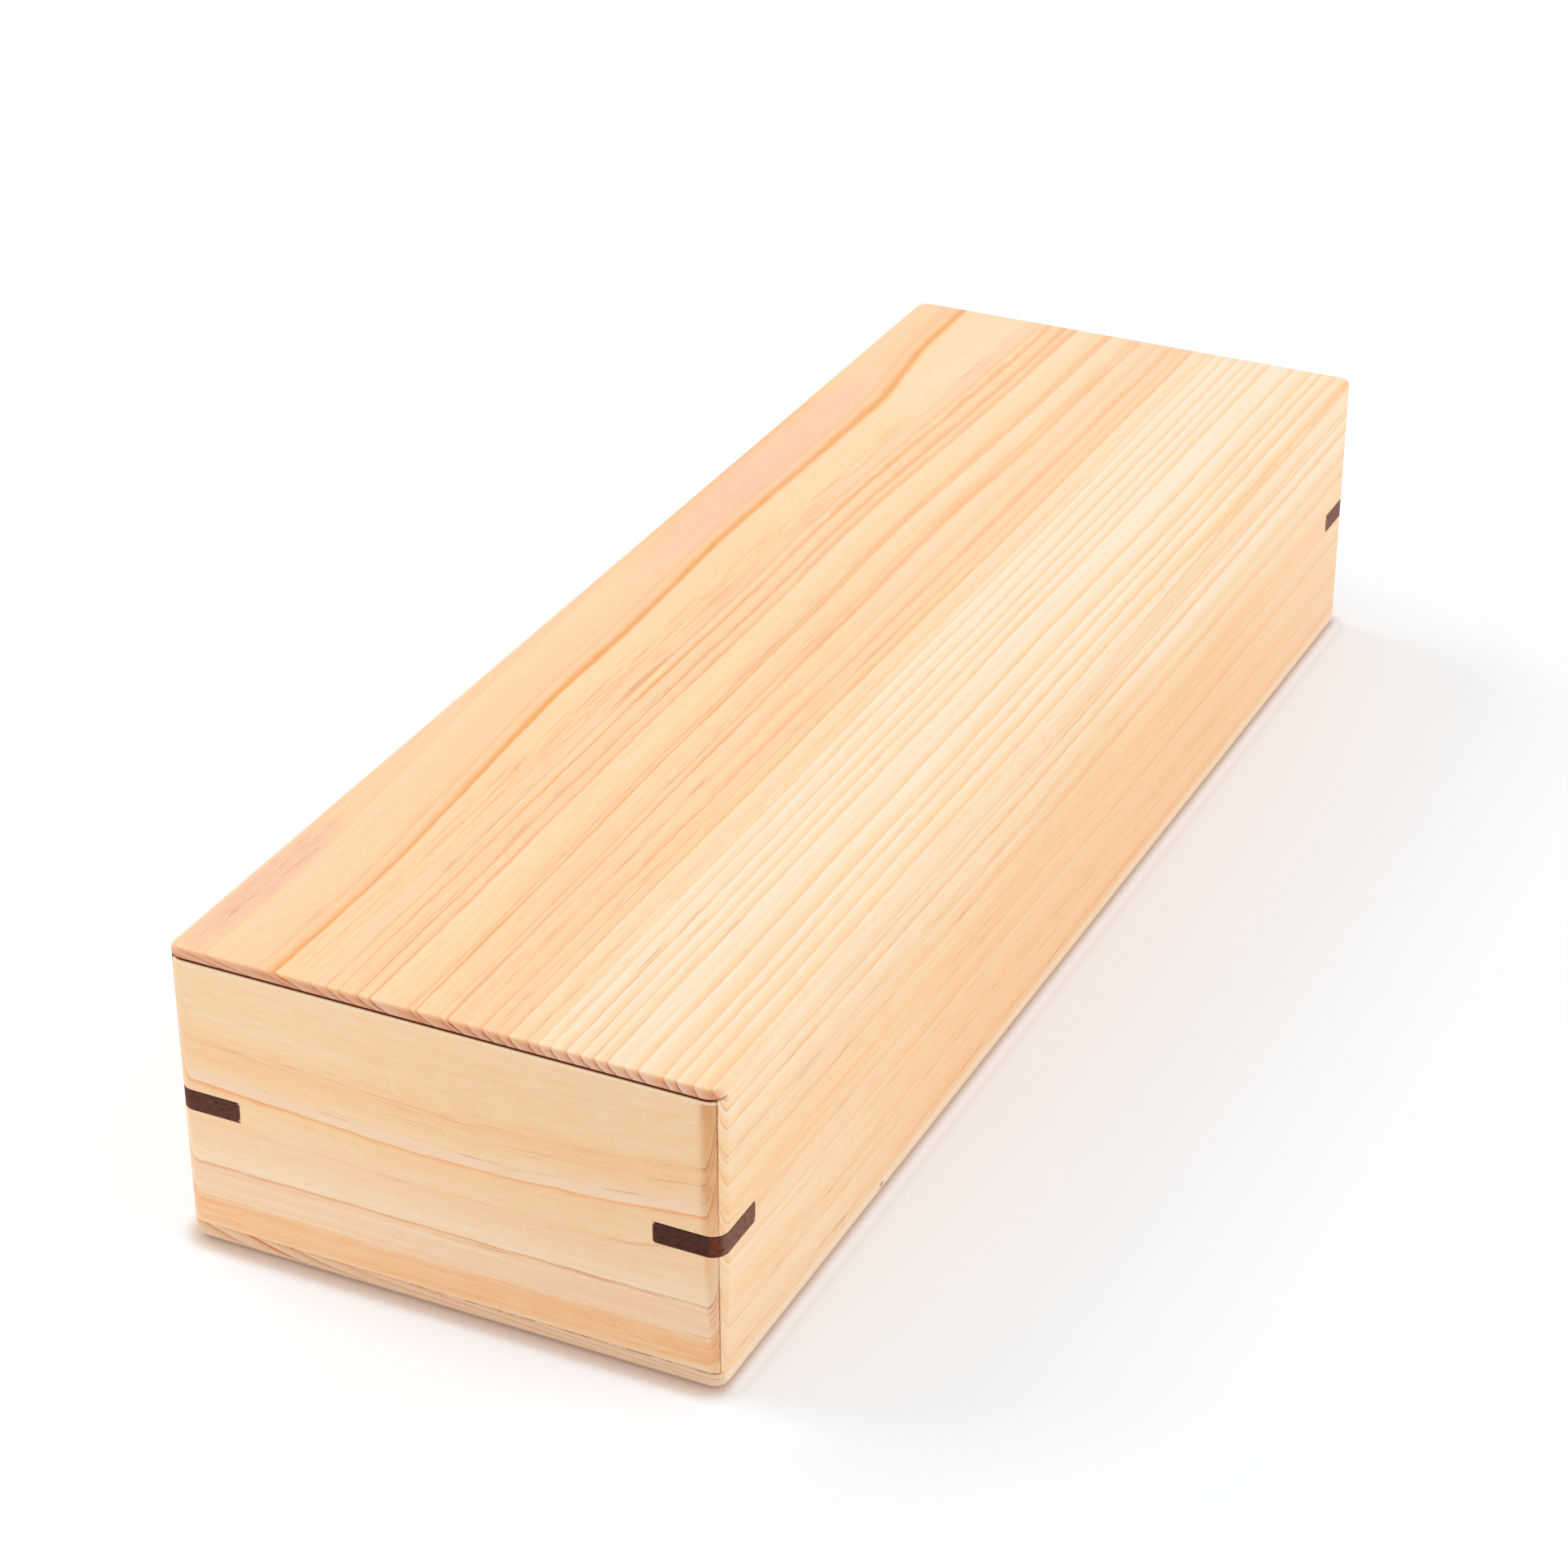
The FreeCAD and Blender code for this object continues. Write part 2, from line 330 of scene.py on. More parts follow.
class Value:
    """What a node puts out. Its operators and methods add the nodes that take it in."""

    __add__, __radd__ = arithmetic("ADD")
    __sub__, __rsub__ = arithmetic("SUBTRACT")
    __mul__, __rmul__ = arithmetic("MULTIPLY")
    __truediv__ = arithmetic("DIVIDE")[0]
    __pow__ = arithmetic("POWER")[0]

    def __init__(self, tree, socket):
        self.tree = tree
        self.socket = socket

    def __abs__(self):
        return self.tree.math("ABSOLUTE", self)

    def at_least(self, least):
        return self.tree.math("MAXIMUM", self, least)

    def at_most(self, most):
        return self.tree.math("MINIMUM", self, most)

    def scaled(self, factor, shift):
        """This times factor, plus shift."""
        return self.tree.math("MULTIPLY_ADD", self, factor, shift)

    def ease(self, start, end, low=0.0, high=1.0):
        """Goes smoothly from low to high as this goes from start to end."""
        inputs = {0: self, 1: start, 2: end, 3: low, 4: high}
        return self.tree.value("ShaderNodeMapRange", inputs, interpolation_type="SMOOTHSTEP")

    def beside(self, centre, reach, core=0.0):
        """1 within core of the centre, and softly down to 0 at reach from it."""
        return abs(self - centre).ease(reach, core)

    def split(self, kind="XYZ"):
        """The three parts of a vector, or with kind Color of a colour."""
        return list(self.tree.values("ShaderNodeSeparate" + kind, {0: self}).values())

    def curve(self, points, handle="AUTO_CLAMPED"):
        """Float curve through a few (input, output) points in real units."""
        low_in, high_in = points[0][0], points[-1][0]
        low_out = min(point[1] for point in points)
        high_out = max(point[1] for point in points)
        share = self.tree.math("DIVIDE", self - low_in, high_in - low_in, clamp=True)
        made = self.tree.node("ShaderNodeFloatCurve", {"Value": share})
        line = made.mapping.curves[0]
        for number, (x, y) in enumerate(points):
            place = ((x - low_in) / (high_in - low_in), (y - low_out) / (high_out - low_out))
            if 0 < number < len(points) - 1:
                point = line.points.new(*place)
            else:
                point = line.points[0 if number == 0 else -1]
                point.location = place
            point.handle_type = handle
        made.mapping.update()
        return Value(self.tree, made.outputs[0]).scaled(high_out - low_out, low_out)

    def ramp(self, stops, interpolation="LINEAR"):
        """Colour and alpha of a colour ramp, from (position, linear colour) stops."""
        made = self.tree.node("ShaderNodeValToRGB", {0: self})
        made.color_ramp.interpolation = interpolation
        elements = made.color_ramp.elements
        elements[0].position, elements[0].color = stops[0]
        elements[1].position, elements[1].color = stops[-1]
        for position, colour in stops[1:-1]:
            elements.new(position).color = colour
        return [Value(self.tree, socket) for socket in made.outputs]


class Tree:
    """Adds nodes to one node tree, and gives back what they put out."""

    def __init__(self, tree):
        self.tree = tree

    def node(self, kind, inputs, **choices):
        """New node, with its choices set before its inputs."""
        made = self.tree.nodes.new(kind)
        for name, choice in choices.items():
            setattr(made, name, choice)
        for key, value in inputs.items():
            if isinstance(value, Value):
                self.tree.links.new(value.socket, made.inputs[key])
            else:
                made.inputs[key].default_value = value
        return made

    def value(self, kind, inputs, output=0, **choices):
        """One output of a new node, by its number or name."""
        return Value(self, self.node(kind, inputs, **choices).outputs[output])

    def values(self, kind, inputs, **choices):
        """The outputs of a new node, by name."""
        made = self.node(kind, inputs, **choices)
        return {socket.name: Value(self, socket) for socket in made.outputs}

    def group(self, name, inputs):
        """The outputs of one of the shared groups, placed here with its own values."""
        return self.values("ShaderNodeGroup", inputs, node_tree=bpy.data.node_groups[name])

    def math(self, operation, *values, clamp=False):
        inputs = dict(enumerate(values))
        return self.value("ShaderNodeMath", inputs, operation=operation, use_clamp=clamp)

    def vector(self, x, y, z):
        return self.value("ShaderNodeCombineXYZ", {0: x, 1: y, 2: z})

    def grey(self, value):
        return self.vector(value, value, value)

    def noise(self, place, detail=2.0, roughness=0.5):
        """Soft noise from 0 to 1 at a place of three numbers."""
        inputs = {
            "Vector": self.vector(*place), "Scale": 1.0, "Detail": detail, "Roughness": roughness}
        return self.value("ShaderNodeTexNoise", inputs)

    def blend(self, share, first, second, kind="MIX"):
        """Takes the first colour towards the second by a share."""
        choices = {"data_type": "RGBA", "blend_type": kind, "clamp_factor": True}
        return self.value("ShaderNodeMix", {0: share, 6: first, 7: second}, 2, **choices)

    def filtered(self, colour, by):
        """Colour multiplied by another."""
        return self.blend(1.0, colour, by, "MULTIPLY")


def patch(across, along, centre, half):
    """Soft-edged oval, 1 in its middle."""
    wide = (across - centre[0]) / half[0]
    long = (along - centre[1]) / half[1]
    return (wide * wide + long * long).ease(1, 0.1)


# ---- shared effects


def growth_ring(tree, given):
    """Late line, deepening, broken dashes and fine thread of the ring that a point lies in.

    After is the soft far side of the line before it.
    """
    along = given["Along"]
    seed = given["Ring"] * 7.31
    soft = given["Softness"] - 1.0
    past_line = given["Phase"] * given["Width"]
    to_line = (1.0 - given["Phase"]) * given["Width"] / given["Softness"]
    swell = tree.noise((along * 0.035, seed, 3.7))
    ragged = tree.noise((along * 0.22, seed, to_line * 0.8), 3, 0.65)
    width = (
        given["Line width"] * swell.ease(0.25, 0.75, 0.7, 1.4) * ragged.ease(0.2, 0.8, 0.5, 1.5))
    short = tree.noise((to_line * 2.6, along * 0.08, seed), 3)
    long = tree.noise((along * 0.03, seed, 9.1), 1)
    dash = short.ease(0.52, 0.66) * long.ease(0.34, 0.56) * to_line.ease(1.6, 0.5)
    thread = to_line.ease(0.5, 0.15) * ragged.ease(0.3, 0.6, 0.35, 1)
    return {
        "Line": to_line.ease(width, 0.05) * swell.ease(0.25, 0.7, 0.7, 1.2),
        "Shade": given["Phase"] ** 1.5,
        "Dash": dash * soft.ease(0.1, 0.9, 1, 0.2),
        "Thread": thread * soft.ease(0.3, 1.1, 1, 0.35),
        "After": past_line.ease(soft.scaled(0.8, 0.01), 0),
    }


# Each layer of fibre: how fine it is across and along the grain, where along it starts, and the
# detail and roughness of its noise.
FIBRE_LAYERS = {
    "Streak": (1.7, 0.05, 0.0, 4.0, 0.7),
    "Short": (1.1, 0.17, 20.0, 4.0, 0.65),
    "Grain": (2.4, 0.9, 60.0, 2.0, 0.6),
    "Fleck": (3.0, 0.22, 40.0, 2.0, 0.5),
    "Band": (0.9, 0.014, 80.0, 3.0, 0.6),
    "Figure": (0.16, 0.016, 120.0, 2.0, 0.5),
    "Blush": (0.3, 0.012, 160.0, 3.0, 0.6),
}


def wood_fibre(tree, given):
    """Fine streaks, brown flecks, long bands and broad figure of wood planed along the grain."""
    layers = {}
    for name, (across, along, start, detail, roughness) in FIBRE_LAYERS.items():
        place = (
            given["Across"].scaled(across, given["Seed"]), given["Along"].scaled(along, start),
            given["Depth"] * across)
        noise = tree.noise(place, detail, roughness)
        layers[name] = noise.ease(0.64, 0.76) if name == "Fleck" else noise.scaled(2, -1)
    return layers


def end_grain(tree, given):
    """Where the surface cuts across the fibres, and the fine speckle that it shows there."""
    facing = given["Facing"]
    place = (given[way] * 4.0 for way in ("Across", "Along", "Depth"))
    speckle = tree.noise(place, 2, 0.7)
    return {
        "End": (abs(facing) - given["Cut from"]).ease(0, 0.22),
        "Low end": (facing * -1).ease(0.06, 0.75),
        "High end": facing.ease(0.06, 0.75),
        "Speckle": speckle.scaled(2.0, -1.0),
    }


def mitre_seam(tree, given):
    """Thin dark line along a mitre, a little broken."""
    nearer_end = given["Along"].at_most(given["Length"] - given["Along"])
    to_mitre = (nearer_end - given["Depth"]) * 0.5 ** 0.5
    broken = tree.noise((given["Height"] * 0.7, given["Length"], 0))
    return {"Line": to_mitre.ease(broken.ease(0.3, 0.65, 0.08, 0.24), 0.04)}


# Each shared group: what builds it, and its inputs with their defaults.
GROUPS = {
    "Growth ring": (growth_ring, {
        "Phase": 0.0, "Ring": 0.0, "Width": 3.0, "Along": 0.0, "Line width": 0.9,
        "Softness": 1.0}),
    "Wood fibre": (wood_fibre, {"Across": 0.0, "Along": 0.0, "Depth": 0.0, "Seed": 0.0}),
    "End grain": (end_grain, {
        "Facing": 0.0, "Cut from": 0.7, "Across": 0.0, "Along": 0.0, "Depth": 0.0}),
    "Mitre seam": (mitre_seam, {"Along": 0.0, "Length": 100.0, "Depth": 0.0, "Height": 0.0}),
}


def make_group(name, build, inputs):
    """Shader group with named number sockets. build gives its outputs from its inputs."""
    group = bpy.data.node_groups.new(name, "ShaderNodeTree")
    for label, default in inputs.items():
        socket = group.interface.new_socket(label, in_out="INPUT", socket_type="NodeSocketFloat")
        socket.default_value = default
    tree = Tree(group)
    outputs = build(tree, tree.values("NodeGroupInput", {}))
    for label in outputs:
        group.interface.new_socket(label, in_out="OUTPUT", socket_type="NodeSocketFloat")
    tree.node("NodeGroupOutput", outputs)


# ---- materials and places


def new_material(name):
    """Material with an empty node tree."""
    material = bpy.data.materials.new(name)
    material.use_nodes = True
    material.node_tree.nodes.clear()
    return material, Tree(material.node_tree)


def finish_material(tree, colour, roughness, height, bump_distance, gloss=0.25):
    """Principled shader and output of an opaque material."""
    bump = tree.value(
        "ShaderNodeBump", {"Height": height, "Distance": bump_distance, "Strength": 1.0})
    shader = tree.value("ShaderNodeBsdfPrincipled", {
        "Base Color": colour, "Roughness": roughness, "Normal": bump, "Specular IOR Level": gloss})
    tree.node("ShaderNodeOutputMaterial", {"Surface": shader})


class Spot:
    """A point on a board: its place in mm across and along the grain and below the show face."""

    def __init__(self, tree, node, across, along, depth):
        place = tree.values("ShaderNodeTexCoord", {})
        self.tree = tree
        self.x, self.y, self.z = (axis * PER_METRE for axis in place["Object"].split())
        self.normal = place["Normal"].split()
        low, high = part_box(node)
        self.u = self.measured(across, BOX_LOW, BOX_HIGH)
        self.t = self.measured(along, BOX_LOW, BOX_HIGH)
        self.d = self.measured(depth, low, high)
        self.facing = self.normal["XYZ".index(along[1])]
        self.up = self.normal[2]

    def measured(self, direction, low, high):
        """Distance in mm from one of six sides, such as +X from the left or -Z from the top."""
        sign, axis = direction
        number = "XYZ".index(axis)
        place = (self.x, self.y, self.z)[number]
        if sign == "+":
            return place - low[number] * PER_METRE
        return high[number] * PER_METRE - place

    def patch(self, centre, half):
        """Soft-edged oval on the show face, 1 in its middle."""
        return patch(self.u, self.t, centre, half)


# ---- softwood


def row_of(ring, rows):
    """The four numbers in the row of one ring."""
    stops = [(number / len(rows), row) for number, row in enumerate(rows)]
    colour, alpha = ((ring + 0.5) / len(rows)).ramp(stops, "CONSTANT")
    return (*colour.split("Color"), alpha)


class Board:
    """How one board lies in its log. Each board of the box says where it differs from this.

    Each has a name, its rings, and its three ways on the box: across the rings, along the grain
    and down from the show face. low_end and high_end say how much its rounded ends show.
    """

    seed = 0.0
    texture = 1.0
    streaks = 1.0
    wider_lines = 1.0
    softest = 1.0
    thread_strength = 0.0
    dash_colour = "mauve_line"
    dash_strength = 0.6
    edge_colour = "oblique"
    sawn_colours = ("early", "late", "line")

    def drift(self, spot):
        """How far, in mm, the rings have moved along the board."""
        return 0.0

    def slope(self, spot):
        """How far, in mm, a ring moves across the board for each mm of depth."""
        return 0.0

    def deepen(self, spot, fibre):
        """Deeper or paler places on the board."""
        return 0.0

    def pink(self, spot, fibre):
        """Places that lean to pink."""
        return 0.0

    def mauve(self, spot, fibre):
        """Places with a mauve mottle or streak."""
        return 0.0

    def softness(self, spot):
        """How much wider and softer than usual the growth lines are."""
        return spot.t.ease(50, 250, 1, self.softest)

    def dashes_at(self, spot):
        """Where on the board the broken dashes show."""
        return 1.0

    def cut_from(self, spot):
        """How squarely a surface cuts the fibres before it shows as end grain."""
        return 0.7

    def rounded(self, spot, end):
        """Where the wood is rounded over its ends."""
        return end["Low end"] * self.low_end + end["High end"] * self.high_end

    def marks(self, spot, colour):
        """Seams and other marks of the making, over the colour of the wood."""
        return colour

    def growth(self, spot):
        """Number and phase of the ring that a point lies in, and its place across the rings."""
        tree = spot.tree
        slow = tree.noise((spot.u.scaled(0.1, self.seed), spot.t * 0.02, spot.d * 0.1))
        quick = tree.noise((spot.u.scaled(0.45, self.seed), spot.t * 0.16, spot.d * 0.5), 3)
        wobble = slow.scaled(0.9, -0.45) + quick.scaled(0.55, -0.275)
        place = spot.u - self.slope(spot) * spot.d + self.drift(spot) + wobble
        starts = self.ring_starts()
        folded = tree.math("PINGPONG", place - starts[0], starts[-1] - starts[0])
        passed = (folded + starts[0]).curve(
            [(start, number) for number, start in enumerate(starts)], "VECTOR")
        passed = passed.at_most(len(self.rings) - 0.001)
        return tree.math("FLOOR", passed), tree.math("FRACT", passed), place

    def ring_starts(self):
        """Where in mm each ring starts, and where the last one ends."""
        return [self.rings[0][0] - FIRST_RING] + [ring[0] for ring in self.rings]

    def material(self, node):
        """Material of the board, measured from its CAD node."""
        if len(self.rings) > MOST_RINGS:
            raise ValueError(self.name + " has more rings than a colour ramp has stops")
        look = settings("softwood")
        material, tree = new_material(self.name)
        spot = Spot(tree, node, self.across, self.along, self.depth)
        ring, phase, place = self.growth(spot)
        strengths = [
            (line, shade, dash, (end - start) / WIDEST_RING)
            for start, (end, line, shade, dash, _, _) in zip(self.ring_starts(), self.rings)]
        line_strength, shade_strength, dashes, width = row_of(ring, strengths)
        grounds = [(tint, blush, 0.0, 1.0) for *_, tint, blush in self.rings]
        tint, blush = row_of(ring, grounds)[:2]
        softness = self.softness(spot)
        line_width = look.line_width * PER_METRE * self.wider_lines
        growth = tree.group("Growth ring", {
            "Phase": phase, "Ring": ring + self.seed, "Width": width * WIDEST_RING,
            "Along": spot.t, "Softness": softness,
            "Line width": line_strength.scaled(0.6, 0.5) * line_width})
        fibre = tree.group("Wood fibre", {
            "Across": place, "Along": spot.t, "Depth": spot.d, "Seed": self.seed})
        end = tree.group("End grain", {
            "Facing": spot.facing, "Cut from": self.cut_from(spot),
            "Across": spot.u, "Along": spot.t, "Depth": spot.d})
        rounded = self.rounded(spot, end)

        # How deep the colour is, and the colour that this gives
        shade = growth["Shade"] * rounded.scaled(0.25, shade_strength)
        line = growth["Line"] * rounded.scaled(0.55, line_strength)
        if self.softest > 1.0:
            last_line, last_shade = row_of(ring - 1.0, strengths)[:2]
            line = line.at_least(growth["After"] * last_line)
            shade = shade.at_least(growth["After"] * last_shade)
            line = line * softness.ease(1, 2, 1, 0.8)
        texture = (
            fibre["Streak"] * (0.22 * self.streaks) + fibre["Band"] * (0.18 * self.texture)
            + fibre["Short"] * (0.24 * self.texture) + fibre["Figure"] * 0.16)
        calm = tint.ease(0, 0.3, 0.75, 1) * softness.ease(1, 2.2, 1, 0.45)
        deep = tint + shade + self.deepen(spot, fibre) + texture * calm
        deep = (1.0 - deep).scaled(line, deep)
        palette = ((0.0, "sap"), (0.32, "pale_heart"), (0.58, "heart"), (0.8, "late_wood"),
                   (1.0, "growth_line"))
        colour = deep.ramp([(depth, paint(name)) for depth, name in palette])[0]
        pink = fibre["Blush"].scaled(0.8, blush) + self.pink(spot, fibre)
        colour = tree.blend(pink * 0.35, colour, paint("blush"))
        joined = growth["Thread"] * dashes.ease(0.75, 1) * self.thread_strength
        dash = (growth["Dash"] * dashes).at_least(joined)
        mauve = (
            growth["Thread"] * rounded * 0.7 + dash * self.dashes_at(spot) * self.dash_strength
            + fibre["Fleck"] * 0.13 + self.mauve(spot, fibre))
        colour = tree.blend(mauve, colour, paint(self.dash_colour))

        # Ends and rounded ends, which cut the fibres
        early, late, dark = (paint(name) for name in self.sawn_colours)
        ended = tree.blend(growth["Shade"].scaled(0.7, 0.2), early, late)
        sharp = growth["Line"] ** 2.0
        ended = tree.blend(sharp * line_strength.at_least(0.7), ended, dark)
        sawn = tree.filtered(colour, ended)
        sawn = tree.filtered(sawn, tree.grey(end["Speckle"].scaled(0.12, 1.0)))
        edge = tree.filtered(colour, paint(self.edge_colour))
        colour = tree.blend(rounded, colour, edge)
        colour = tree.blend(end["End"] * tint.ease(0, 0.35, 0.8, 1), colour, sawn)
        colour = tree.filtered(colour, tree.grey(fibre["Grain"].scaled(0.05, 1.0)))
        colour = self.marks(spot, colour)

        height = fibre["Streak"] * 0.4 + growth["Shade"] * 0.2
        roughness = fibre["Streak"].scaled(0.06, look.roughness)
        finish_material(tree, colour, roughness, height, bump_distance=0.03 * MILLIMETRE)
        return material


class LidBoard(Board):
    """Cut from heartwood on the left and sapwood on the right."""

    name = "lid softwood"
    rings = LID_RINGS
    across, along, depth = "+X", "+Y", "-Z"
    low_end = 0.8
    high_end = 0.8
    wider_lines = 0.8
    softest = 2.2
    thread_strength = 0.6
    dash_strength = 0.75
    edge_colour = "arris"
    sawn_colours = ("lid_early", "lid_late", "lid_line")

    # Middles of the marked places, in mm from the left edge and the front
    near_patch = (4, 24)
    far_patch = (7.5, 205)
    rear_patch = (26, 275)
    red_streak = (27.5, 114)

    def drift(self, spot):
        """The outer rings lean to the left edge towards the rear, the inner ones run straight."""
        outer = spot.t.curve((
            (0, 0), (20, -0.5), (40, -0.1), (55, 1.1), (75, 2.4), (90, 3.5), (105, 4.2),
            (127, 4.4), (150, 5.2), (185, 6.3), (217, 5.9), (240, 5.7), (262, 7.5), (277, 9),
            (300, 9.7)))
        middle = spot.t.curve((
            (0, 0), (40, 0.6), (67, 1.4), (110, 2.1), (157, 2.4), (190, 3.2), (217, 2.6),
            (250, 1.6), (285, 1), (300, 0.9)))
        inner = spot.t.curve(((0, 0), (130, -0.2), (220, -0.9), (300, -1.2)))
        near_outer = spot.u.ease(27, 15.5)
        near_inner = spot.u.ease(44, 62)
        near_middle = 1.0 - near_outer - near_inner
        return outer * near_outer + middle * near_middle + inner * near_inner

    def slope(self, spot):
        return spot.u.curve((
            (0, 7), (20, 6), (32, 2.5), (52, 2.3), (63, 1.45), (72, 1.1), (80, 1.5), (86, 1.3),
            (93, 1), (100, 0.8)))

    def marks(self, spot, colour):
        """Painted shade: brown in the joint over the front wall."""
        painted_joint_shade = spot.up.ease(-0.2, -0.6) * spot.z.ease(54, 55) * spot.t.ease(1.3, 0.9)
        return spot.tree.blend(painted_joint_shade, colour, paint("gap"))

    def deepen(self, spot, fibre):
        """Yellow streaks to the right of the strong line, a deeper patch and a paler rear."""
        streaky = fibre["Streak"].ease(-0.15, 0.3)
        streaks = spot.patch((23.5, 120), (4, 170)) * streaky * 0.36
        red = spot.patch(self.red_streak, (0.7, 14)) * 0.4
        far = spot.patch((5, 205), (8, 60)) * 0.26
        pale = spot.patch((20, 285), (9, 50)) * -0.16
        front = spot.t.ease(30, 0) * spot.u.ease(60, 70) * 0.06
        rear = spot.t.ease(100, 220) * spot.u.ease(12, 25) * -0.1
        paler = spot.patch((50, 250), (9, 110)) * -0.1
        edge = spot.t.ease(150, 220) * spot.u.ease(86, 92) * 0.06
        return streaks + red + far + pale + front + rear + paler + edge

    def cut_from(self, spot):
        """The left corner is sanded rounder than the rest."""
        return spot.u.ease(2, 22, 0.76, 0.66)

    def pink(self, spot, fibre):
        """Three pink patches near the left edge."""
        near = spot.patch(self.near_patch, (5, 30)) * 1.2
        far = spot.patch(self.far_patch, (7.5, 65)) * 2.2
        rear = spot.patch(self.rear_patch, (2.2, 24)) * 1.6
        return fibre["Streak"].ease(-0.3, 0.3, 0.3, 1) * (near + far + rear)

    def mauve(self, spot, fibre):
        """Fine mauve streaks in the same patches, and one short red streak."""
        fine = (fibre["Streak"] + fibre["Short"]).ease(0, 0.6)
        near = spot.patch(self.near_patch, (4, 28))
        far = spot.patch(self.far_patch, (7, 65)) * 0.2
        rear = spot.patch(self.rear_patch, (1.6, 22)) * 0.5
        streak = spot.patch(self.red_streak, (0.5, 13)) * 0.2
        return fine * (near * 0.6 + far + rear) + near * 0.2 + streak

    def softness(self, spot):
        """Softer towards the rear, less so in the sapwood. The strong line is soft all along."""
        softest = spot.u.ease(56, 70, self.softest, 1.5)
        return spot.t.ease(50, 250, 1, softest) + spot.u.ease(27, 21, 0, 0.6)

    def dashes_at(self, spot):
        """Few dashes in the sapwood, and those only near the front."""
        return spot.u.ease(68, 64).at_least(spot.t.ease(80, 20, 0.25, 1))


class Wall(Board):
    """A mitred wall. Its seams and its rounded corners show."""

    length = BOX_WIDTH
    gap_above = False
    texture = 1.3
    thread_strength = 0.15
    dash_colour = "brown_line"

    def rounded(self, spot, end):
        """A strip as wide as the rounding of the corner, at each end, less of it low down."""
        reach = spot.z.ease(4, 30, 2.2, 3.8)
        much = spot.z.curve(((4, 0.35), (16, 0.55), (30, 0.6), (44, 0.8), (56, 1.1)))
        inner = reach * 0.6
        near_low_end = spot.t.ease(reach, inner, 0, self.low_end)
        near_high_end = (self.length - spot.t).ease(reach, inner, 0, self.high_end)
        return much * (near_low_end + near_high_end)

    def marks(self, spot, colour):
        """The line along each mitre, where it comes to the surface, and on the front wall a painted
        highlight along its upper edge and painted shade in the joint under the lid.
        """
        tree = spot.tree
        line = tree.group("Mitre seam", {
            "Along": spot.t, "Length": self.length, "Depth": spot.d, "Height": spot.z})["Line"]
        faded = spot.z.curve(((4, 0.6), (18, 0.75), (24, 0.4), (36, 0.5), (46, 0.85), (56, 1)))
        inside = spot.d.ease(WALL_THICKNESS - 0.4, WALL_THICKNESS - 0.1)
        at_surface = spot.d.ease(1.6, 1.1).at_least(inside).at_least(spot.up.ease(0.5, 0.8))
        colour = tree.blend(line * faded * at_surface, colour, paint("mitre"))
        if self.gap_above:
            # Painted highlight where the rounded upper edge of the front wall catches the light.
            colour = tree.blend(spot.up.ease(0.05, 0.45) * 0.85, colour, LIT_EDGE)
            # Painted shade in the joint under the lid.
            painted_shade_under_lid = spot.up.ease(0.86, 0.99) * spot.d.ease(1.3, 0.9)
            colour = tree.blend(painted_shade_under_lid, colour, paint("gap"))
        return colour


class FrontBoard(Wall):
    name = "front softwood"
    rings = FRONT_RINGS
    across, along, depth = "+Z", "+X", "+Y"
    low_end = 0.1
    high_end = 1.0
    texture = 1.2
    streaks = 0.35
    thread_strength = 0.7
    dash_strength = 0.62
    gap_above = True

    def deepen(self, spot, fibre):
        """Deeper over the orange line and in the upper right corner, and banded low down."""
        band = spot.u.beside(38.5, 8) * 0.12
        low = spot.u.ease(22, 14) * fibre["Band"] * 0.35
        corner = spot.t.ease(20, 100) * spot.u.ease(34, 52) * 0.07
        return band + corner + low

    def marks(self, spot, colour):
        """Painted shade makes the whole board a little darker to the right; it is also browner in
        that upper corner.
        """
        tree = spot.tree
        # Painted shade: the board darkens towards the right.
        colour = tree.blend(spot.t.ease(10, 95), colour, tree.filtered(colour, PAINTED_SHADE))
        ragged = tree.noise((spot.t * 0.5, spot.z * 0.25, spot.d * 0.5), 4, 0.7)
        brown = spot.t.ease(95.5, 97.5) * spot.z.ease(24, 40) * ragged.ease(0.25, 0.75, 0.4, 1.6)
        colour = tree.blend(brown * 0.75, colour, tree.filtered(colour, HANDLED))
        return super().marks(spot, colour)

    def drift(self, spot):
        """The rings sag in the middle of the board, most around the orange line."""
        bow = spot.t.curve(((0, -2.1), (28, -0.8), (48, 0), (71, -0.8), (86, -2.1), (100, -3.8)))
        return bow * spot.u.curve(((14, 0), (24, 0.35), (30, 1), (58, 1)))

    def slope(self, spot):
        return spot.u.curve(((0, 3), (16, 3.5), (30, 11), (58, 12)))


class RearBoard(FrontBoard):
    name = "rear softwood"
    rings = REAR_RINGS
    depth = "-Y"
    seed = 31.0
    low_end = 0.4
    high_end = 0.4
    gap_above = False


class EndStrip(RearBoard):
    name = "end strip softwood"
    seed = 47.0


